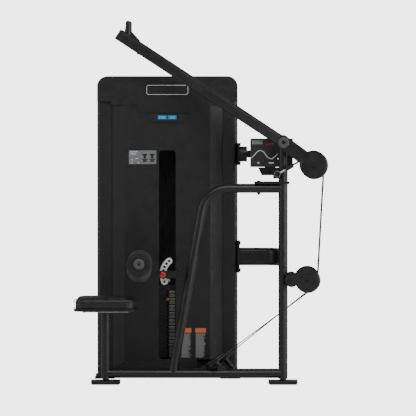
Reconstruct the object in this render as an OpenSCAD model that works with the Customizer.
// Lat pulldown machine with two levers, a seat, knee rollers and a shrouded weight tower.
// The origin is on the floor under the upright's foot. +X is the way the user faces,
// +Y is from the seat towards the weight tower and +Z is up. Sizes are in millimetres.

/* [Station frame] */
// Narrow side of the flat-sided oval frame tube
tube_w = 50; // [44:1:56]
// Broad side of the frame tube
tube_d = 100; // [90:1:110]
// Wall of the frame tube
tube_wall = 3; // [2:0.5:5]
// Height of the base tube's middle above the floor
base_z = 61; // [58:1:66]
// Distance from the upright to the seat post
seat_reach = 985; // [900:5:1100]
// Height of the lever pivot above the floor
pivot_z = 1345; // [1320:5:1500]
// Height of the middle of the tube that runs level from the mast to the upright
mast_top_z = 1089.5; // [1000:0.5:1100]
// Distance from the upright to the mast at the base tube
mast_reach = 607; // [560:1:640]
// Lean of the mast from the vertical, in degrees
mast_lean = 10; // [6:0.5:14]
// Radius of the mast's bend on its middle line
mast_bend_r = 150; // [120:5:180]

/* [Levers] */
// Length of a lever from the pivot to its end, seen from the side
lever_len = 1090; // [950:10:1200]
// Lift of the levers above the horizontal at rest, in degrees
lever_lift = 33.3; // [28:0.1:38]
// Splay of each lever away from the middle, in degrees
lever_splay = 9.5; // [6:0.5:12]
// Height of the lever tube's section
lever_h = 60; // [50:1:66]
// Thickness of the lever tube's section
lever_t = 36; // [30:1:38]
// Distance of each lever's middle plane from the station's middle plane
lever_y = 76; // [76:1:84]
// Radius of the pivot shaft
pivot_shaft_r = 12.5; // [10:0.5:15]
// Radius of the grips
grip_r = 17; // [14:0.5:19]
// Length of the grips
grip_len = 130; // [110:5:160]

/* [Pulleys and cable] */
// Radius of the cable's middle line round the station's pulleys
wrap_r = 56; // [50:1:60]
// Radius of the cable
cable_r = 3; // [2:0.5:3.5]
// Width of a pulley
pulley_w = 20; // [16:1:22]
// Lever pulley's place in front of the pivot
lever_pulley_x = 170; // [150:1:190]
// Lever pulley's drop below the pivot
lever_pulley_drop = 125; // [110:1:140]
// Lower pulleys' place in front of the upright's middle
lower_pulley_x = 135; // [125:1:150]
// Lower pulleys' height
lower_pulley_z = 584; // [540:1:620]

/* [Seat] */
// Length of the seat pad, front to back
seat_len = 352; // [300:1:360]
// Width of the seat pad
seat_wid = 300; // [260:5:340]
// Thickness of the seat pad
seat_pad_h = 70; // [50:1:90]
// Height of the seat pad's top above the floor
seat_top_z = 486; // [470:1:500]

/* [Knee rollers] */
// Radius of the foam rollers
roller_r = 72; // [55:1:75]
// Length of each roller
roller_len = 200; // [150:5:220]
// Rise of each roller towards its outer end, in degrees
roller_rise = 13; // [8:0.5:15]
// Height of the knee arm's pivot
knee_z = 611; // [605:1:640]
// Distance from the knee pivot to the rollers' axle
knee_arm_len = 226; // [215:1:240]
// Radius of the row of locking holes about the knee pivot
lock_r = 96; // [88:1:104]
// Angle between two locking holes, in degrees
lock_pitch = 12.5; // [12:0.5:14]

/* [Weight tower] */
// Width of the tower
tower_w = 792; // [760:2:860]
// Height of the tower
tower_h = 1708; // [1690:1:1800]
// Depth of the tower
tower_d = 300; // [290:5:340]
// Distance from the station's middle plane to the tower's front
tower_gap = 400; // [395:1:430]
// Width of each side column
column_w = 82; // [76:1:90]
// Thickness of the shroud sheets
sheet_t = 3; // [2:0.5:4]
// Width of the slot that shows the weight plates
slot_w = 94; // [80:1:104]
// Height of the slot's top above the floor
slot_top = 1291; // [1200:1:1340]

/* [Weight stack] */
// Number of weight plates
plate_count = 19; // [12:1:19]
// Number of plates picked up by the selector pin
lifted_count = 3; // [1:1:8]
// Height of one plate with its gap
plate_pitch = 20; // [18:0.5:20]
// Width of a plate
plate_w = 290; // [280:1:300]
// Depth of a plate
plate_d = 120; // [100:1:130]
// Radius of the guide rods
rod_r = 9; // [8:0.5:10]
// Radius of the selector stem
stem_r = 12; // [11:0.5:13]
// Radius of the selector pin
pin_r = 5; // [4:0.5:5]

/* [Hidden] */
$fn = 64;

FRAME_BLACK = "#1f1f21";
GUARD_BLACK = "#28282a";
STEEL = "#b8babd";
RUBBER = "#141416";
CAP_GREY = "#58595c";
WHITE = "#dedfe0";
RED = "#a82020";
BLUE = "#0a7ba0";

tiny = 0.5;
shaft_fit = 0.05;
bolt_fit = 0.3;
oval_flat = tube_d - tube_w;

// Foot of the frame
foot_pad_h = 5;
foot_top_z = 23;
tube_foot_z = 33;

// Pivot and levers
housing_r = 38;
housing_half = tube_d / 2;
hub_in = lever_y - 24;
hub_out = lever_y + 24;
hub_r = 36;
cheek_t = 6;
bush_wall = 3.5;
bush_r = pivot_shaft_r + bush_wall;
cover_t = 8;
lever_cover_r = 78;
lower_cover_r = 71;
cover_bevel = 9;
axle_r = 8;
cap_r = 32;
cap_gap = 1;
cap_t = 8;

// Mast line from the base tube up to the bend; the mast is a little narrower than what it is welded to
mast_d = tube_d - 2;
mast_join_x = -mast_reach + (mast_top_z - base_z - tube_w / 2) * tan(mast_lean);
bend_turn = 90 - mast_lean;
bend_reach = mast_bend_r * tan(bend_turn / 2);
bend_start = [
    mast_join_x - bend_reach * sin(mast_lean),
    mast_top_z - bend_reach * cos(mast_lean)
];
bend_centre = [mast_join_x + bend_reach, mast_top_z - mast_bend_r];
function mast_x(z) = -mast_reach + (z - base_z - tube_w / 2) * tan(mast_lean);

// Seat
seat_board_h = 5;
seat_plate_h = 6;
seat_plate_z = seat_top_z - seat_pad_h - seat_board_h - seat_plate_h;
seat_plate_len = 253;
seat_plate_wid = 180;
seat_corner_r = 60;

// Knee arm
knee_x = mast_x(knee_z) - 57;
arm_h = 40;
clevis_t = 6;
clevis_gap = 1;
clevis_y = arm_h / 2 + clevis_gap;
knee_bolt_r = 10;
axle_z = knee_z + 13;
axle_x = knee_x - knee_arm_len;
roller_axle_r = 14;
roller_start = 35;
lock_hole_r = 7.2;
lock_pin_r = 7;
lock_hole_first = -2;
lock_hole_last = 4;

// Tower
tower_x = -646;
column_front = tower_gap + 20;
column_back = tower_gap + tower_d - 20;
column_corner_r = 24;
tower_base_front = column_front + column_corner_r;
tower_base_back = column_back - column_corner_r;
column_in = tower_w / 2 - column_w;
guard_lap = 5;
guard_half = column_in + guard_lap;
guard_raised_half = column_in - 72;
guard_set_back = 25;
guard_low_z = 58;
guard_bevel_h = 40;
head_z = 1547;
head_side_z = 1569;
head_drop_z = 1502;
head_drop_half = 164;
head_corner_r = 56;
foot_h = 13;
tower_base_top = 93;
slot_low = 113;
slot_corner_r = 18;

// Stack
stack_y = tower_gap + 150;
stack_low_z = 117;
plate_t = plate_pitch - tiny;
head_plate_t = 28;
rod_spread = 115;
stem_top_z = stack_low_z + plate_count * plate_pitch + head_plate_t + 35;
rod_hole_r = rod_r + 1.5;
stem_hole_r = stem_r + 2;
top_plate_z = 1490;
top_plate_t = 10;
top_wrap_r = 50;
cable_split = 13;

// Cable geometry shared by the brackets, pulleys and cables
eye_x = -33;
eye_z = pivot_z - 175;
eye_r = 18;
eye_bolt_r = 10;
groove_gap = 1.5;
flange_extra = 5;
lever_pulley_at = [lever_pulley_x, pivot_z - lever_pulley_drop];
lower_pulley_at = [lower_pulley_x, lower_pulley_z];
eye_to_pulley = [lever_pulley_at[0] - eye_x, lever_pulley_at[1] - eye_z];
eye_slope = atan2(eye_to_pulley[1], eye_to_pulley[0]) + asin(wrap_r / norm(eye_to_pulley));
riser = lever_pulley_at - lower_pulley_at;
riser_turn = atan2(riser[1], riser[0]) - 90;
// Right and left run: slope of the long strand below the horizontal, base pulley's X, its Y
run_slope = [36.6, 38.8];
base_pulley_x = [-377, -327];
base_pulley_y = [-lever_y + wrap_r, lever_y + wrap_r];
function run_start(i) = lower_pulley_at + wrap_r * [sin(run_slope[i]), -cos(run_slope[i])];
function run_drop(i) = (run_start(i)[0] - base_pulley_x[i]) * tan(run_slope[i]);
function base_pulley_z(i) = run_start(i)[1] - run_drop(i);
turn_x = [-410, -384];
turn_y = stack_y - top_wrap_r;
turn_z = 103.3 + top_wrap_r;
top_z = 1600;
up_x = -397;
outer_top_x = up_x - top_wrap_r;
inner_top_x = tower_x + top_wrap_r;

// ---------- Helpers ----------

// Flat-sided oval, narrow along x and broad along y
module oval(w, d) {
    square([w, d - w], center = true);
    for (side = [-1, 1]) translate([0, side * (d - w) / 2]) circle(w / 2);
}

module oval_ring(d = tube_d) {
    difference() {
        oval(tube_w, d);
        oval(tube_w - 2 * tube_wall, d - 2 * tube_wall);
    }
}

// Cylinder along +y from y0 to y1
module y_rod(x, y0, y1, z, r) {
    translate([x, y0, z]) rotate([-90, 0, 0]) cylinder(h = y1 - y0, r = r);
}

// Outline drawn in x and z, made solid from y0 to y1
module xz_slab(y0, y1) {
    translate([0, y1, 0]) rotate([90, 0, 0]) linear_extrude(y1 - y0) children();
}

// Round bar between two points
module bar(p, q, r) {
    d = q - p;
    turn = [0, acos(d[2] / norm(d)), atan2(d[1], d[0])];
    translate(p) rotate(turn) cylinder(h = norm(d), r = r);
}

// Puts its children at a place given in x and z
module at_xz(p) {
    translate([p[0], 0, p[1]]) children();
}

module both_sides() {
    children();
    mirror([0, 1, 0]) children();
}

// Solid outer forms, used to cope the tubes against each other
module upright_form() {
    linear_extrude(pivot_z) oval(tube_w, tube_d);
}

module base_form() {
    translate([-seat_reach, 0, base_z]) rotate([0, 90, 0]) linear_extrude(seat_reach) oval(tube_w, tube_d);
}

module mast_line(ring) {
    at_xz([mast_x(base_z), base_z])
        rotate([0, mast_lean, 0])
            linear_extrude((bend_start[1] - base_z) / cos(mast_lean)) mast_section(ring);
    translate([bend_centre[0], 0, bend_centre[1]])
        rotate([90, 0, 0])
            rotate([0, 0, 90])
                rotate_extrude(angle = bend_turn, $fn = 96)
                    translate([mast_bend_r, 0]) mast_section(ring);
    translate([bend_centre[0], 0, mast_top_z])
        rotate([0, 90, 0]) linear_extrude(-bend_centre[0]) mast_section(ring);
}

module mast_section(ring) {
    if (ring) oval_ring(mast_d);
    else oval(tube_w, mast_d);
}

// ---------- Station frame ----------

module base_tube() {
    color(FRAME_BLACK) difference() {
        translate([-seat_reach, 0, base_z])
            rotate([0, 90, 0]) linear_extrude(seat_reach) oval_ring();
        upright_form();
        translate([-seat_reach, 0, 0]) upright_form();
        bolt_holes();
    }
}

module seat_post() {
    color(FRAME_BLACK) translate([-seat_reach, 0, 0]) {
        post_with_foot_plate(seat_plate_z);
        translate([0, 0, seat_plate_z - tube_wall]) linear_extrude(tube_wall) oval(tube_w, tube_d);
    }
}

module post_with_foot_plate(top) {
    translate([0, 0, tube_foot_z]) {
        linear_extrude(top - tube_foot_z) oval_ring();
        linear_extrude(tube_wall) oval(tube_w, tube_d);
    }
}

lug_x = 55;
lug_h = 50;
lug_y = lever_y - 10;

module upright() {
    color(FRAME_BLACK) difference() {
        union() {
            post_with_foot_plate(pivot_z);
            translate([-lug_x, -lug_y, eye_z - lug_h / 2])
                cube([lug_x - tube_w / 2 + 1, 2 * lug_y, lug_h]);
        }
        y_rod(0, -tube_d, tube_d, pivot_z, housing_r);
        y_rod(eye_x, -tube_d, tube_d, eye_z, eye_bolt_r + bolt_fit);
        bolt_holes();
    }
}

// Backing ring inside the mast where the bend is welded to the straight
module mast_ring() {
    at_xz(bend_start) rotate([0, mast_lean, 0]) translate([0, 0, -6]) linear_extrude(12) difference() {
        oval(tube_w - 2, mast_d - 2);
        oval(tube_w - 4 * tube_wall, mast_d - 4 * tube_wall);
    }
}

module knee_mast() {
    color(FRAME_BLACK) difference() {
        union() {
            mast_line(true);
            mast_ring();
        }
        base_form();
        upright_form();
        bolt_holes();
    }
}

cross_x = -418;
cross_end_t = 8;
cross_bolt_x = 32;

module cross_member() {
    color(FRAME_BLACK) difference() {
        union() {
            translate([cross_x, tube_d / 2 + cross_end_t, base_z])
                rotate([-90, 0, 0])
                    linear_extrude(tower_base_front - tube_d / 2 - cross_end_t)
                        rotate([0, 0, 90]) oval_ring();
            translate([cross_x - 60, tube_d / 2, base_z - tube_w / 2])
                cube([120, cross_end_t, tube_w]);
        }
        bolt_holes();
    }
}

connector_z = 690;
connector_y = tower_gap + 60;
connector_bend_r = 110;
flange_t = 12;
tower_right = tower_x + tower_w / 2;

module lower_connector() {
    color(FRAME_BLACK) difference() {
        union() {
            translate([tower_right + flange_t, connector_y, connector_z])
                rotate([0, 90, 0])
                    linear_extrude(-tower_right - flange_t - connector_bend_r)
                        rotate([0, 0, 90]) oval_ring();
            translate([-connector_bend_r, connector_y - connector_bend_r, connector_z])
                rotate_extrude(angle = 90, $fn = 96) translate([connector_bend_r, 0]) oval_ring();
            translate([0, tube_d / 2 - 20, connector_z])
                rotate([-90, 0, 0])
                    linear_extrude(connector_y - connector_bend_r - tube_d / 2 + 20) oval_ring();
            translate([-tube_w / 2 + 3, tube_d / 2 - 20, connector_z - tube_d / 2 + 3])
                cube([tube_w - 6, 28, tube_d - 6]);
            translate([tower_right, connector_y - 45, connector_z - 90]) cube([flange_t, 90, 180]);
        }
        upright_form();
        bolt_holes();
    }
}

neck_z = pivot_z - 75;
neck_y = tower_gap + 40;
neck_h = 40;
neck_w = 30;
neck_x = -10;
boss_len = 42;

module upper_connector() {
    color(FRAME_BLACK) difference() {
        union() {
            translate([tower_right, neck_y - 40, neck_z - 62]) cube([flange_t, 80, 124]);
            translate([tower_right + flange_t, neck_y, neck_z])
                rotate([0, 90, 0]) cylinder(h = boss_len, r = 43);
            translate([tower_right + flange_t, neck_y - neck_w / 2, neck_z - neck_h / 2])
                cube([neck_x + neck_w / 2 - tower_right - flange_t, neck_w, neck_h]);
            translate([neck_x - neck_w / 2, 0, neck_z - neck_h / 2])
                cube([neck_w, neck_y + neck_w / 2, neck_h]);
        }
        upright_form();
        bolt_holes();
    }
}

collar_t = 12;
collar_z = mast_top_z + tube_w / 2;
collar_x0 = -160;
collar_x1 = 31;

module collar_plate() {
    color(FRAME_BLACK) difference() {
        translate([collar_x0, -tube_d / 2 - 4, collar_z]) cube([collar_x1 - collar_x0, tube_d + 8, collar_t]);
        upright_form();
        bolt_holes();
    }
}

module foot_plates() {
    color(FRAME_BLACK) for (x = [0, -seat_reach]) translate([x, 0, 0]) {
        translate([-81, -60, foot_pad_h]) cube([162, 120, foot_top_z - foot_pad_h]);
        translate([0, 0, foot_top_z]) cylinder(h = tube_foot_z - foot_top_z, r = 18);
    }
}

tower_foot_x = tower_w / 2 - 42;

module rubber_feet() {
    color(RUBBER) {
        for (x = [0, -seat_reach]) translate([x - 75, -55, 0]) cube([150, 110, foot_pad_h]);
        for (x = [-1, 1]) for (y = [tower_gap + 12, tower_gap + tower_d - 72])
            translate([tower_x + x * tower_foot_x - 56, y, 0]) cube([112, 60, foot_h]);
    }
}

// ---------- Bolts ----------

// Each bolt: head's seat, direction it runs in, grip, radius
tower_bolts = [
    for (s = [-1, 1]) [[tower_right + flange_t, connector_y, connector_z + s * 76], "-x", 16, 6],
    for (s = [-1, 1]) [[tower_right + flange_t, neck_y, neck_z + s * 54], "-x", 16, 6]
];
seat_bolts = [
    for (x = [-1, 1]) for (y = [-1, 1])
        [[-seat_reach + x * 117, y * 60, seat_plate_z], "+z", 22, 4]
];
station_bolts = [
    [[-135, 0, collar_z + collar_t], "-z", tube_w + collar_t, 6],
    [[collar_x1, 0, collar_z + collar_t / 2], "-x", 40, 5],
    [[cross_x - cross_bolt_x, -tube_d / 2, base_z], "+y", tube_d + cross_end_t, 6],
    [[cross_x + cross_bolt_x, -tube_d / 2, base_z], "+y", tube_d + cross_end_t, 6],
    [[0, -tube_d / 2, connector_z + 37], "+y", tube_d + 8, 6],
    [[0, -tube_d / 2, connector_z - 37], "+y", tube_d + 8, 6],
    [[knee_x, -clevis_y - clevis_t, knee_z], "+y", 2 * (clevis_y + clevis_t) + clevis_t, knee_bolt_r],
    [[eye_x, -lever_y - 10, eye_z], "+y", 2 * lever_y + 20, eye_bolt_r]
];
bolts = concat(station_bolts, tower_bolts, seat_bolts);
nutted = len(station_bolts);

module aim(direction) {
    turn = direction == "-x" ? [0, -90, 0] : direction == "+y" ? [-90, 0, 0]
        : direction == "-z" ? [180, 0, 0] : [0, 0, 0];
    rotate(turn) children();
}

module frame_bolts() {
    color(FRAME_BLACK) for (i = [0 : len(bolts) - 1]) {
        r = bolts[i][3];
        grip = bolts[i][2];
        translate(bolts[i][0]) aim(bolts[i][1]) {
            cylinder(h = grip, r = r);
            translate([0, 0, -r]) cylinder(h = r, r = r * 1.7, $fn = 6);
            if (i < nutted) translate([0, 0, grip]) {
                cylinder(h = r, r = r * 1.7, $fn = 6);
                cylinder(h = r * 2, r = r);
            }
        }
    }
}

module bolt_holes() {
    for (b = bolts) translate(b[0]) aim(b[1]) translate([0, 0, -1]) cylinder(h = b[2] + 2, r = b[3] + bolt_fit);
}

// ---------- Pivot ----------

module pivot_housing() {
    color(FRAME_BLACK) difference() {
        y_rod(0, -housing_half, housing_half, pivot_z, housing_r);
        y_rod(0, -tube_d, tube_d, pivot_z, pivot_shaft_r);
    }
}

module pivot_shaft() {
    color(STEEL) y_rod(0, -hub_out - cap_gap, hub_out + cap_gap, pivot_z, pivot_shaft_r);
}

module pivot_bushes() {
    color("#a98a4a") both_sides() difference() {
        y_rod(0, hub_in, hub_out, pivot_z, bush_r);
        y_rod(0, 0, 2 * hub_out, pivot_z, pivot_shaft_r);
    }
}

module pivot_caps() {
    color(CAP_GREY) both_sides()
        translate([0, -hub_out - cap_gap, pivot_z])
            rotate([90, 0, 0]) difference() {
                cylinder(h = cap_t, r1 = cap_r, r2 = cap_r - 4);
                translate([0, 0, cap_t - 4]) cylinder(h = cap_t, r = 10);
            }
}

// ---------- Levers ----------

module cheek_outline(hub, end, end_r, width) {
    reach = end - hub;
    translate(hub) circle(hub_r + 3);
    translate(end) circle(end_r);
    translate(hub) rotate(atan2(reach[1], reach[0])) translate([0, -width / 2]) square([norm(reach), width]);
}

// Two cheeks and the outer cover that hold a pulley, for the -y side
module fork(hub, end, cover_r, width) {
    for (y = [hub_in, hub_out - cheek_t]) xz_slab(-y - cheek_t, -y)
        cheek_outline(hub, end, cover_r - 8, width);
    translate([end[0], -hub_out, end[1]]) rotate([90, 0, 0]) cylinder(h = cover_t, r1 = cover_r, r2 = cover_r - cover_bevel);
    y_rod(end[0], -hub_out - cover_t - 3, -hub_out, end[1], 13);
    y_rod(end[0], -hub_out, -hub_in, end[1], axle_r);
}

lever_plan = lever_len / cos(lever_splay);
function lever_point(along, across, up) =
    let (x = -along * cos(lever_splay) + across * sin(lever_splay),
         y = -along * sin(lever_splay) - across * cos(lever_splay))
    [x * cos(lever_lift) + up * sin(lever_lift), y - lever_y, pivot_z - x * sin(lever_lift) + up * cos(lever_lift)];

lever_tip_x = -lever_len * cos(lever_lift);
lever_tip_z = pivot_z + lever_len * sin(lever_lift);
stub_x = lever_tip_x + 55;
stub_low_z = lever_tip_z - 38.4;
stub_top_z = lever_tip_z + 60.6;
handle_y = -120;
bar_r = 14;
lever_edge_r = 12;
bar_wall = 4;
corner_bead = 0.6;
hollow_start = 24;
grip_step = 2;
stub_y = -lever_y - (-stub_x / cos(lever_lift)) * tan(lever_splay) + lever_t / 2 + bar_r - 1;
grip_top = [stub_x - 6, handle_y, lever_tip_z + 18.6];
grip_dir = [sin(30), 0, -cos(30)];
grip_low = grip_top + grip_dir * (grip_len + 8);

// Bent bar from the lever's end, up, inwards and down to the grip
handle_path = [
    [stub_x, stub_y, stub_low_z], [stub_x, stub_y, stub_top_z], [stub_x, handle_y, stub_top_z], grip_top
];
module handle_run() {
    for (i = [0 : len(handle_path) - 2]) {
        bar(handle_path[i], handle_path[i + 1], bar_r);
        translate(handle_path[i + 1]) sphere(bar_r + corner_bead);
    }
}

module handle_hollow() {
    for (i = [0 : len(handle_path) - 2]) {
        along = unit(handle_path[i + 1] - handle_path[i]);
        bar(handle_path[i] + hollow_start * along, handle_path[i + 1] - hollow_start * along, bar_r - bar_wall);
    }
}

// Section of the lever's tube, with rounded edges
module lever_outline(inset) {
    h = lever_h - 2 * inset;
    t = lever_t - 2 * inset;
    r = lever_edge_r - inset;
    square([h - 2 * r, t], center = true);
    square([h, t - 2 * r], center = true);
    for (x = [-1, 1]) for (y = [-1, 1]) translate([x * (h / 2 - r), y * (t / 2 - r)]) circle(r);
}

module right_lever() {
    color(FRAME_BLACK) difference() {
        union() {
            y_rod(0, -hub_out, -hub_in, pivot_z, hub_r);
            translate([0, -lever_y, pivot_z])
                rotate([0, lever_lift, 0])
                    rotate([0, 0, lever_splay])
                        translate([-lever_plan, 0, 0]) rotate([0, 90, 0]) difference() {
                            linear_extrude(lever_plan) lever_outline(0);
                            translate([0, 0, tube_wall])
                                linear_extrude(lever_plan - hub_r) lever_outline(tube_wall);
                        }
            fork([0, pivot_z], lever_pulley_at, lever_cover_r, 76);
            handle_run();
            bar(grip_top, grip_low, bar_r - grip_step);
            bar(grip_low, grip_low + 5 * grip_dir, grip_r + 1);
            xz_slab(stub_y - 3, stub_y + 3) polygon([
                [stub_x, stub_top_z - 30], [stub_x + 64, stub_low_z], [stub_x, stub_low_z + 20]
            ]);
        }
        handle_hollow();
        y_rod(0, -2 * hub_out, -hub_in / 2, pivot_z, bush_r + shaft_fit);
    }
}

module left_lever() {
    mirror([0, 1, 0]) right_lever();
}

module right_grip() {
    color(RUBBER) difference() {
        bar(grip_top + 5 * grip_dir, grip_low, grip_r);
        bar(grip_top - 20 * grip_dir, grip_low + 20 * grip_dir, bar_r - grip_step + shaft_fit);
        translate(grip_top) sphere(bar_r + corner_bead);
    }
}

module left_grip() {
    mirror([0, 1, 0]) right_grip();
}

// ---------- Pulleys ----------

// Grooved wheel about the z axis
module wheel(r_line) {
    rim = r_line + flange_extra;
    bed = cable_r + groove_gap;
    color("#2c2c2e") rotate_extrude(convexity = 6) difference() {
        translate([axle_r + shaft_fit, -pulley_w / 2]) square([rim - axle_r - shaft_fit, pulley_w]);
        translate([r_line, 0]) circle(bed, $fn = 32);
        translate([r_line, -bed]) square([2 * flange_extra, 2 * bed]);
        for (side = [-1, 1]) translate([30, side * pulley_w / 2]) square([24, 8], center = true);
    }
}

module right_lever_pulley() {
    translate([lever_pulley_at[0], -lever_y, lever_pulley_at[1]]) rotate([90, 0, 0]) wheel(wrap_r);
}

module left_lever_pulley() {
    mirror([0, 1, 0]) right_lever_pulley();
}

module right_lower_pulley() {
    translate([lower_pulley_at[0], -lever_y, lower_pulley_at[1]]) rotate([90, 0, 0]) wheel(wrap_r);
}

module left_lower_pulley() {
    mirror([0, 1, 0]) right_lower_pulley();
}

lower_hub_r = 20;
lower_hub = [tube_w / 2 + lower_hub_r + 1, lower_pulley_z];

module lower_pulley_bracket() {
    color(FRAME_BLACK) {
        translate([tube_w / 2, -40, lower_pulley_z - 36]) cube([6, 80, 72]);
        y_rod(lower_hub[0], -hub_out, hub_out, lower_hub[1], lower_hub_r);
        both_sides() {
            fork(lower_hub, lower_pulley_at, lower_cover_r, 50);
            y_rod(lower_hub[0], -hub_out - cover_t, -hub_out, lower_hub[1], 36);
        }
    }
}

// Puts its children in a base pulley's frame, whose z axis is the pulley's own axle
module at_base_pulley(i) {
    translate([base_pulley_x[i], base_pulley_y[i], base_pulley_z(i)]) rotate([0, -run_slope[i], 0]) children();
}

module right_base_pulley() {
    at_base_pulley(0) wheel(wrap_r);
}

module left_base_pulley() {
    at_base_pulley(1) wheel(wrap_r);
}

module base_pulley_axle(i, below) {
    at_base_pulley(i) {
        translate([0, 0, -below]) cylinder(h = below + pulley_w / 2 + 4, r = axle_r);
        translate([0, 0, -below]) cylinder(h = below - pulley_w / 2 - 1, r = 14);
        translate([0, 0, pulley_w / 2 + 1]) cylinder(h = 5, r = 14);
    }
}

arm_reach = 172;

module base_pulley_brackets() {
    color(FRAME_BLACK) {
        difference() {
            union() {
                base_pulley_axle(0, 52);
                translate([-364, base_pulley_y[0] - 22, base_z]) cube([44, 44, tube_w / 2 + 20]);
            }
            base_form();
        }
        difference() {
            union() {
                base_pulley_axle(1, 94);
                translate([cross_x, base_pulley_y[1] - 25, base_z - 4]) cube([arm_reach, 50, 14]);
            }
            translate([cross_x, tube_d / 2, base_z])
                rotate([-90, 0, 0]) linear_extrude(tower_gap) rotate([0, 0, 90]) oval(tube_w, tube_d);
        }
    }
}

module turn_pulleys() {
    for (x = turn_x) translate([x, turn_y, turn_z]) rotate([0, 90, 0]) wheel(top_wrap_r);
}

module top_pulley_pair(x) {
    for (side = [-1, 1]) translate([x, stack_y + side * cable_split, top_z]) rotate([90, 0, 0]) wheel(top_wrap_r);
}

module outer_top_pulleys() {
    top_pulley_pair(outer_top_x);
}

module inner_top_pulleys() {
    top_pulley_pair(inner_top_x);
}

// ---------- Cables ----------

arc_steps = 5;
function arc(c, u, v, from, to, r) = [
    for (i = [0 : arc_steps]) let (a = from + (to - from) * i / arc_steps) c + r * (cos(a) * u + sin(a) * v)
];
ux = [1, 0, 0];
uy = [0, 1, 0];
uz = [0, 0, 1];
function eye_line(side, along) =
    [eye_x + along * cos(eye_slope), side * lever_y, eye_z + along * sin(eye_slope)];
function down_run(i) = [-cos(run_slope[i]), 0, -sin(run_slope[i])];
shank_from = 17;
shank_to = 60;
function route(i, side) = concat(
    [eye_line(side, shank_to)],
    arc([lever_pulley_at[0], side * lever_y, lever_pulley_at[1]], ux, uz, eye_slope + 90, riser_turn, wrap_r),
    arc([lower_pulley_at[0], side * lever_y, lower_pulley_at[1]], ux, uz, riser_turn, run_slope[i] - 90, wrap_r),
    arc([base_pulley_x[i], base_pulley_y[i], base_pulley_z(i)], -uy, down_run(i), 0, 90, wrap_r),
    arc([turn_x[i], turn_y, turn_z], -uz, uy, 0, 90, top_wrap_r),
    arc([outer_top_x, stack_y + side * cable_split, top_z], ux, uz, 0, 90, top_wrap_r),
    arc([inner_top_x, stack_y + side * cable_split, top_z], ux, uz, 90, 180, top_wrap_r),
    [[tower_x, stack_y + side * cable_split, stem_top_z]]
);

function unit(v) = v / norm(v);
function tangent(p, k) =
    unit(p[min(k + 1, len(p) - 1)] - p[max(k - 1, 0)]);
function square_to(v, t) = unit(v - (v * t) * t);
// Carries the ring's first direction along the route without twisting it
function carried(p, k) =
    k == 0 ? square_to([0, 1, 0], tangent(p, 0)) : square_to(carried(p, k - 1), tangent(p, k));

cable_sides = 8;
module swept(p, r) {
    rings = len(p);
    points = [
        for (k = [0 : rings - 1])
            let (t = tangent(p, k), a = carried(p, k), b = cross(t, a))
            for (s = [0 : cable_sides - 1])
                p[k] + r * (cos(s * 360 / cable_sides) * a + sin(s * 360 / cable_sides) * b)
    ];
    walls = [
        for (k = [0 : rings - 2]) for (s = [0 : cable_sides - 1])
            let (n = (s + 1) % cable_sides, c = k * cable_sides)
            [c + s, c + n, c + n + cable_sides, c + s + cable_sides]
    ];
    ends = [
        [for (s = [cable_sides - 1 : -1 : 0]) s],
        [for (s = [0 : cable_sides - 1]) (rings - 1) * cable_sides + s]
    ];
    color(RUBBER) polyhedron(points, concat(walls, ends));
}

module right_cable() {
    swept(route(0, -1), cable_r);
}

module left_cable() {
    swept(route(1, 1), cable_r);
}

module cable_eyes() {
    color(STEEL) for (side = [-1, 1]) difference() {
        union() {
            y_rod(eye_x, side * lever_y - 8, side * lever_y + 8, eye_z, eye_r);
            bar(eye_line(side, shank_from - 3), eye_line(side, shank_to), 5.5);
        }
        y_rod(eye_x, -2 * tube_d, 2 * tube_d, eye_z, eye_bolt_r + bolt_fit);
    }
}

module cable_sleeves() {
    color(RUBBER) for (side = [-1, 1]) difference() {
        bar(eye_line(side, 50), eye_line(side, 100), 11.5);
        bar(eye_line(side, 40), eye_line(side, 110), 6);
    }
}

// ---------- Seat ----------

module seat_outline() {
    inner = [seat_len - 2 * seat_corner_r, seat_wid - 2 * seat_corner_r];
    square([inner[0], seat_wid], center = true);
    square([seat_len, inner[1]], center = true);
    for (x = [-1, 1]) for (y = [-1, 1]) translate([x * inner[0] / 2, y * inner[1] / 2]) circle(seat_corner_r);
}

module seat_pad() {
    color(RUBBER) translate([-seat_reach - 1.5, 0, seat_plate_z + seat_plate_h]) difference() {
        linear_extrude(seat_pad_h + seat_board_h) seat_outline();
        for (b = seat_bolts) translate([b[0][0] + seat_reach + 1.5, b[0][1], -1])
            cylinder(h = b[2] - seat_plate_h + 2, r = b[3] + bolt_fit);
    }
}

module seat_plate() {
    color(WHITE) difference() {
        translate([-seat_reach - seat_plate_len / 2, -seat_plate_wid / 2, seat_plate_z])
            cube([seat_plate_len, seat_plate_wid, seat_plate_h]);
        bolt_holes();
    }
}

// ---------- Knee arm ----------

module knee_clevis() {
    color(FRAME_BLACK) difference() {
        for (y = [-clevis_y - clevis_t, clevis_y + clevis_t]) xz_slab(y, y + clevis_t) {
            translate([knee_x, knee_z]) circle(18);
            polygon([
                [knee_x - 16, knee_z + 9], [knee_x - 16, knee_z - 9], [knee_x + 25, knee_z - 58],
                [knee_x + 70, knee_z - 58], [knee_x + 80, knee_z + 43], [knee_x + 44, knee_z + 43]
            ]);
        }
        mast_line(false);
        bolt_holes();
    }
}

arc_half = 18;
module lock_arc() {
    from = 180 - lock_hole_last * lock_pitch;
    to = 180 - lock_hole_first * lock_pitch;
    intersection() {
        difference() {
            circle(lock_r + arc_half);
            circle(lock_r - arc_half);
        }
        polygon([
            [0, 0], 2 * lock_r * [cos(from), sin(from)], 2 * lock_r * [cos((2 * from + to) / 3), sin((2 * from + to) / 3)],
            2 * lock_r * [cos((from + 2 * to) / 3), sin((from + 2 * to) / 3)], 2 * lock_r * [cos(to), sin(to)]
        ]);
    }
    for (a = [from, to]) translate(lock_r * [cos(a), sin(a)]) circle(arc_half);
    translate([-lock_r, -15]) square([lock_r, 30]);
    circle(20);
}

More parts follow.
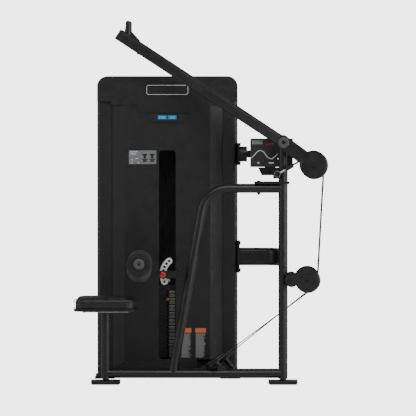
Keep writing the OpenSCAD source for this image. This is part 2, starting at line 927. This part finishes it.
module lock_quadrant() {
    color(WHITE) xz_slab(clevis_y, clevis_y + clevis_t) translate([knee_x, knee_z]) difference() {
        lock_arc();
        circle(knee_bolt_r + bolt_fit);
        for (i = [lock_hole_first : lock_hole_last])
            rotate(180 - i * lock_pitch) translate([lock_r, 0]) circle(lock_hole_r, $fn = 32);
    }
}

roller_dir = [0, -cos(roller_rise), sin(roller_rise)];
roller_vertex = [axle_x, 0, axle_z];
axle_len = roller_start + roller_len + 1;
knob_x = knee_x - lock_r;
housing_len = 24;

module knee_arm() {
    color(FRAME_BLACK) difference() {
        union() {
            translate([axle_x - 18, -arm_h / 2, knee_z - arm_h / 2])
                cube([knee_x - axle_x + 18, arm_h, arm_h]);
            y_rod(knee_x, -arm_h / 2, arm_h / 2, knee_z, arm_h / 2);
            both_sides() bar(roller_vertex, roller_vertex + axle_len * roller_dir, roller_axle_r);
            both_sides() bar(roller_vertex + 15 * roller_dir, roller_vertex + (roller_start - 1) * roller_dir, 22);
            y_rod(knob_x, -arm_h / 2 - housing_len, -arm_h / 2, knee_z, 13);
        }
        y_rod(knee_x, -arm_h, arm_h, knee_z, knee_bolt_r + shaft_fit);
        y_rod(knob_x, -2 * arm_h, arm_h, knee_z, lock_pin_r + shaft_fit);
    }
}

module roller_caps() {
    color(CAP_GREY) both_sides() difference() {
        bar(roller_vertex + axle_len * roller_dir, roller_vertex + (axle_len + 8) * roller_dir, 31);
        bar(roller_vertex + (axle_len + 4) * roller_dir, roller_vertex + (axle_len + 20) * roller_dir, 9);
    }
}

module right_roller() {
    turn = [90 - roller_rise, 0, 0];
    edge = 10;
    color(RUBBER) translate(roller_vertex + roller_start * roller_dir) rotate(turn) rotate_extrude() difference() {
        union() {
            translate([roller_axle_r + shaft_fit, 0]) square([roller_r - edge - roller_axle_r - shaft_fit, roller_len]);
            translate([roller_axle_r + shaft_fit, edge])
                square([roller_r - roller_axle_r - shaft_fit, roller_len - 2 * edge]);
            for (z = [edge, roller_len - edge]) translate([roller_r - edge, z]) circle(edge, $fn = 32);
        }
    }
}

module left_roller() {
    mirror([0, 1, 0]) right_roller();
}

knob_face = -arm_h / 2 - housing_len - 8;

module lock_knob() {
    color(RED) {
        translate([knob_x, knob_face, knee_z]) rotate([90, 0, 0]) cylinder(h = 20, r1 = 15, r2 = 19);
        y_rod(knob_x, knob_face - 1, clevis_y - tiny, knee_z, lock_pin_r);
    }
}

// ---------- Placard and tray ----------

placard_y = 160;
placard_t = 4;
placard_x0 = -181;
placard_x1 = 57;
placard_low = 142;
placard_high = 18;
leg_gap = 2;

module placard() {
    z0 = pivot_z - placard_low;
    color("#424244") {
        difference() {
            translate([placard_x0, placard_y, z0])
                cube([placard_x1 - placard_x0, placard_t, placard_low + placard_high]);
            translate([neck_x - neck_w / 2 - leg_gap, placard_y - 1, neck_z - neck_h / 2 - leg_gap])
                cube([neck_w + 2 * leg_gap, placard_t + 2, neck_h + 2 * leg_gap]);
        }
        for (side = [-1, 1]) translate([neck_x + side * (neck_w / 2 + 5) - 5, placard_y + placard_t - 1, neck_z - 12])
            cube([10, 25, 24]);
    }
}

tray_y0 = placard_y + placard_t;
tray_depth = 80;
tray_wall = 4;
tray_h = 42;
tray_drop = 146;
tray_tab_h = 80;

module tray_outline(inset) {
    polygon([
        [-137 + 1.5 * inset, inset], [12 - inset, inset],
        [12 - inset, -tray_h + inset], [-117 + inset, -tray_h + inset]
    ]);
}

module accessory_tray() {
    color(FRAME_BLACK) translate([0, tray_y0, pivot_z - tray_drop]) difference() {
        union() {
            xz_slab(0, tray_depth) tray_outline(0);
            translate([-100, 0, 0]) cube([60, tray_wall, tray_tab_h]);
        }
        xz_slab(tray_wall, tray_depth - tray_wall) tray_outline(tray_wall);
    }
}

// ---------- Tower ----------

module tower_columns() {
    color(GUARD_BLACK) difference() {
        for (side = [-1, 1]) translate([tower_x, 0, foot_h])
            mirror([side < 0 ? 1 : 0, 0, 0])
                linear_extrude(head_side_z - foot_h) column_outline();
        bolt_holes();
    }
}

module column_block(x0, x1, y0, y1, r) {
    translate([x0, y0]) square([x1 - x0 - r, y1 - y0]);
    translate([x0, y0 + r]) square([x1 - x0, y1 - y0 - 2 * r]);
    for (y = [y0 + r, y1 - r]) translate([x1 - r, y]) circle(r);
}

module column_outline() {
    difference() {
        column_block(column_in, tower_w / 2, column_front, column_back, column_corner_r);
        column_block(
            column_in - 1, tower_w / 2 - sheet_t, column_front + sheet_t, column_back - sheet_t,
            column_corner_r - sheet_t
        );
    }
}

// Raised panel shell that faces -y, with its edges set back
module guard_panel(y) {
    difference() {
        guard_form(y, 0);
        guard_form(y + sheet_t, sheet_t);
    }
}

module guard_form(y, inset) {
    low = guard_low_z + inset;
    high = head_z - 1 + inset;
    hull() {
        translate([tower_x - guard_half + inset, y + guard_set_back, low])
            cube([2 * (guard_half - inset), sheet_t, high - low]);
        translate([tower_x - guard_raised_half, y, low + guard_bevel_h])
            cube([2 * guard_raised_half, sheet_t, high - low - guard_bevel_h]);
    }
}

module slot_outline() {
    translate([tower_x - slot_w / 2, slot_low + slot_corner_r])
        square([slot_w, slot_top - slot_low - 2 * slot_corner_r]);
    translate([tower_x - slot_w / 2 + slot_corner_r, slot_low])
        square([slot_w - 2 * slot_corner_r, slot_top - slot_low]);
    for (x = [-1, 1]) for (z = [slot_low + slot_corner_r, slot_top - slot_corner_r])
        translate([tower_x + x * (slot_w / 2 - slot_corner_r), z]) circle(slot_corner_r);
}

module front_guard() {
    color(GUARD_BLACK) difference() {
        guard_panel(tower_gap);
        xz_slab(tower_gap - 10, tower_gap + 10) slot_outline();
        translate([tower_x - head_drop_half - 1, tower_gap - 10, head_drop_z - 1])
            cube([2 * head_drop_half + 2, 60, 100]);
        translate([cross_x - 60, tower_gap - 10, 0]) cube([118, 60, slot_low - 2]);
    }
}

module rear_guard() {
    color(GUARD_BLACK) difference() {
        translate([0, 2 * tower_gap + tower_d, 0]) mirror([0, 1, 0]) guard_panel(tower_gap);
        translate([tower_x - head_drop_half - 1, tower_gap + tower_d - 50, head_drop_z - 1])
            cube([2 * head_drop_half + 2, 60, 100]);
    }
}

module head_outline(inset, low) {
    half = tower_w / 2 - inset;
    high = tower_h - inset;
    r = head_corner_r - inset;
    translate([tower_x, 0]) {
        translate([-half, head_side_z - low]) square([2 * half, high - r - head_side_z + low]);
        translate([-half + r, high - r - 1]) square([2 * half - 2 * r, r + 1]);
        for (side = [-1, 1]) translate([side * (half - r), high - r]) circle(r);
        translate([-guard_half + inset, head_z - low]) square([2 * guard_half - 2 * inset, 60]);
        translate([-head_drop_half + inset, head_drop_z - low]) square([2 * head_drop_half - 2 * inset, 60]);
    }
}

head_over = sheet_t;

module tower_head() {
    y0 = tower_gap - head_over;
    y1 = tower_gap + tower_d + head_over;
    color(GUARD_BLACK) difference() {
        xz_slab(y0, y1) head_outline(0, 0);
        xz_slab(y0 + sheet_t, y1 - sheet_t) head_outline(sheet_t, 10);
        translate([tower_x - tower_w, y0 + 10, head_drop_z - 20])
            cube([2 * tower_w, y1 - y0 - 20, head_side_z - head_drop_z + 20]);
    }
}

post_w = 50;
base_half = tower_w / 2 - sheet_t;
base_depth = tower_base_back - tower_base_front;
base_wall = 4;
ledge_in = 8;
ledge_t = 6;
hanger_x0 = -665;
hanger_x1 = -375;

module tower_frame() {
    color(FRAME_BLACK) difference() {
        union() {
            difference() {
                translate([tower_x - base_half, tower_base_front, foot_h])
                    cube([2 * base_half, base_depth, tower_base_top - foot_h]);
                translate([tower_x - base_half + base_wall, tower_base_front + base_wall, foot_h + base_wall])
                    cube([
                        2 * (base_half - base_wall), base_depth - 2 * base_wall,
                        tower_base_top - foot_h - 2 * base_wall
                    ]);
            }
            translate([tower_x - guard_half, column_front + ledge_in, tower_base_top - ledge_t])
                cube([2 * guard_half, column_back - column_front - 2 * ledge_in, ledge_t]);
            for (side = [-1, 1])
                translate([tower_x + side * (base_half - post_w / 2) - post_w / 2, stack_y - post_w / 2, tower_base_top])
                    cube([post_w, post_w, top_plate_z - tower_base_top]);
            translate([tower_x - base_half, stack_y - 80, top_plate_z])
                cube([2 * base_half, 160, top_plate_t]);
            for (y = [stack_y - 50, stack_y + 44]) translate([hanger_x0, y, top_plate_z + top_plate_t])
                cube([hanger_x1 - hanger_x0, 6, 130]);
            for (x = [inner_top_x, outer_top_x]) y_rod(x, stack_y - 46, stack_y + 46, top_z, axle_r);
            for (x = [turn_x[0] - 22, turn_x[1] + 16]) translate([x, turn_y - 22, tower_base_top])
                cube([6, 44, turn_z - tower_base_top + 20]);
            translate([turn_x[0] - 20, turn_y, turn_z])
                rotate([0, 90, 0]) cylinder(h = turn_x[1] - turn_x[0] + 38, r = axle_r);
        }
        for (x = [tower_x, up_x]) for (side = [-1, 1])
            translate([x, stack_y + side * cable_split, top_plate_z - 1]) cylinder(h = top_plate_t + 2, r = 9);
        translate([cross_x - tube_d / 2 - tiny, tower_gap, foot_h])
            cube([tube_d + 2 * tiny, tower_base_front - tower_gap, tower_base_top]);
    }
}

module guide_rods() {
    color(STEEL) for (side = [-1, 1]) translate([tower_x + side * rod_spread, stack_y, tower_base_top])
        cylinder(h = top_plate_z - tower_base_top, r = rod_r);
}

module stack_bumpers() {
    color(RUBBER) for (side = [-1, 1]) translate([tower_x + side * rod_spread, stack_y, tower_base_top])
        difference() {
            cylinder(h = stack_low_z - tower_base_top, r = 24);
            translate([0, 0, -1]) cylinder(h = stack_low_z, r = rod_r + 0.5);
        }
}

module weight_plates(first, last) {
    color("#3a3b3d") for (i = [first : last]) translate([tower_x, stack_y, stack_low_z + i * plate_pitch]) difference() {
        translate([-plate_w / 2, -plate_d / 2, 0]) cube([plate_w, plate_d, plate_t]);
        translate([0, 0, -1]) cylinder(h = plate_t + 2, r = stem_hole_r);
        for (side = [-1, 1]) translate([side * rod_spread, 0, -1]) cylinder(h = plate_t + 2, r = rod_hole_r);
        y_rod(0, -plate_d, 0, plate_t / 2, pin_r + 0.5);
    }
}

first_lifted = plate_count - lifted_count;

module resting_plates() {
    weight_plates(0, first_lifted - 1);
}

module lifted_plates() {
    weight_plates(first_lifted, plate_count - 1);
}

head_plate_z = stack_low_z + plate_count * plate_pitch;

module head_plate() {
    color("#3a3b3d") difference() {
        translate([tower_x - plate_w / 2, stack_y - plate_d / 2, head_plate_z])
            cube([plate_w, plate_d, head_plate_t]);
        translate([tower_x, stack_y, head_plate_z - 1]) cylinder(h = head_plate_t + 2, r = stem_r);
        for (side = [-1, 1]) translate([tower_x + side * rod_spread, stack_y, head_plate_z - 1])
            cylinder(h = head_plate_t + 2, r = rod_hole_r);
    }
}

module selector_stem() {
    color(STEEL) difference() {
        union() {
            translate([tower_x, stack_y, stack_low_z + 4]) cylinder(h = stem_top_z - stack_low_z - 4, r = stem_r);
            translate([tower_x - 14, stack_y - 30, stem_top_z - 16]) cube([28, 60, 16]);
        }
        for (i = [0 : plate_count - 1]) translate([tower_x, stack_y, stack_low_z + i * plate_pitch])
            y_rod(0, -plate_d, plate_d, plate_t / 2, pin_r + shaft_fit);
    }
}

pin_head_y = stack_y - plate_d / 2 - 32;

module selector_pin() {
    color(RED) translate([tower_x, 0, stack_low_z + first_lifted * plate_pitch + plate_t / 2]) {
        y_rod(0, pin_head_y, stack_y + stem_r + 1, 0, pin_r);
        y_rod(0, pin_head_y - 14, pin_head_y + 8, 0, 9);
    }
}

name_w = 242;
name_h = 62;
name_r = 12;
name_z = 1632;

module name_plate() {
    color(FRAME_BLACK) translate([tower_x, 0, name_z]) xz_slab(tower_gap - head_over - 3, tower_gap - head_over) {
        square([name_w - 2 * name_r, name_h], center = true);
        square([name_w, name_h - 2 * name_r], center = true);
        for (x = [-1, 1]) for (z = [-1, 1]) translate([x * (name_w / 2 - name_r), z * (name_h / 2 - name_r)])
            circle(name_r);
    }
}

bezel_z0 = 1453;
bezel_z1 = 1498;
bezel_half = 103.5;

module display_bezel() {
    color(FRAME_BLACK) translate([tower_x, 0, 0]) difference() {
        xz_slab(tower_gap - 12, tower_gap) polygon([
            [-bezel_half, bezel_z1], [bezel_half, bezel_z1], [bezel_half, bezel_z0 + 18],
            [bezel_half - 14, bezel_z0], [-bezel_half + 14, bezel_z0], [-bezel_half, bezel_z0 + 18]
        ]);
        translate([-56, tower_gap - 13, bezel_z0 + 12]) cube([116, 6, 24]);
    }
}

module display_screen() {
    color(BLUE) for (x = [-54, 2]) translate([tower_x + x, tower_gap - 11, bezel_z0 + 13]) cube([50, 4, 22]);
}

base_tube();
seat_post();
upright();
knee_mast();
cross_member();
lower_connector();
upper_connector();
collar_plate();
pivot_housing();
pivot_shaft();
pivot_bushes();
pivot_caps();
frame_bolts();
foot_plates();
rubber_feet();
placard();
accessory_tray();
seat_pad();
seat_plate();
knee_clevis();
lock_quadrant();
lower_pulley_bracket();
base_pulley_brackets();
cable_eyes();
cable_sleeves();
right_cable();
left_cable();
tower_frame();
tower_columns();
front_guard();
rear_guard();
tower_head();
guide_rods();
stack_bumpers();
resting_plates();
name_plate();
display_bezel();
display_screen();
head_plate();
lifted_plates();
selector_stem();
selector_pin();
right_lever();
left_lever();
right_grip();
left_grip();
right_lever_pulley();
left_lever_pulley();
right_lower_pulley();
left_lower_pulley();
right_base_pulley();
left_base_pulley();
turn_pulleys();
outer_top_pulleys();
inner_top_pulleys();
knee_arm();
roller_caps();
right_roller();
left_roller();
lock_knob();
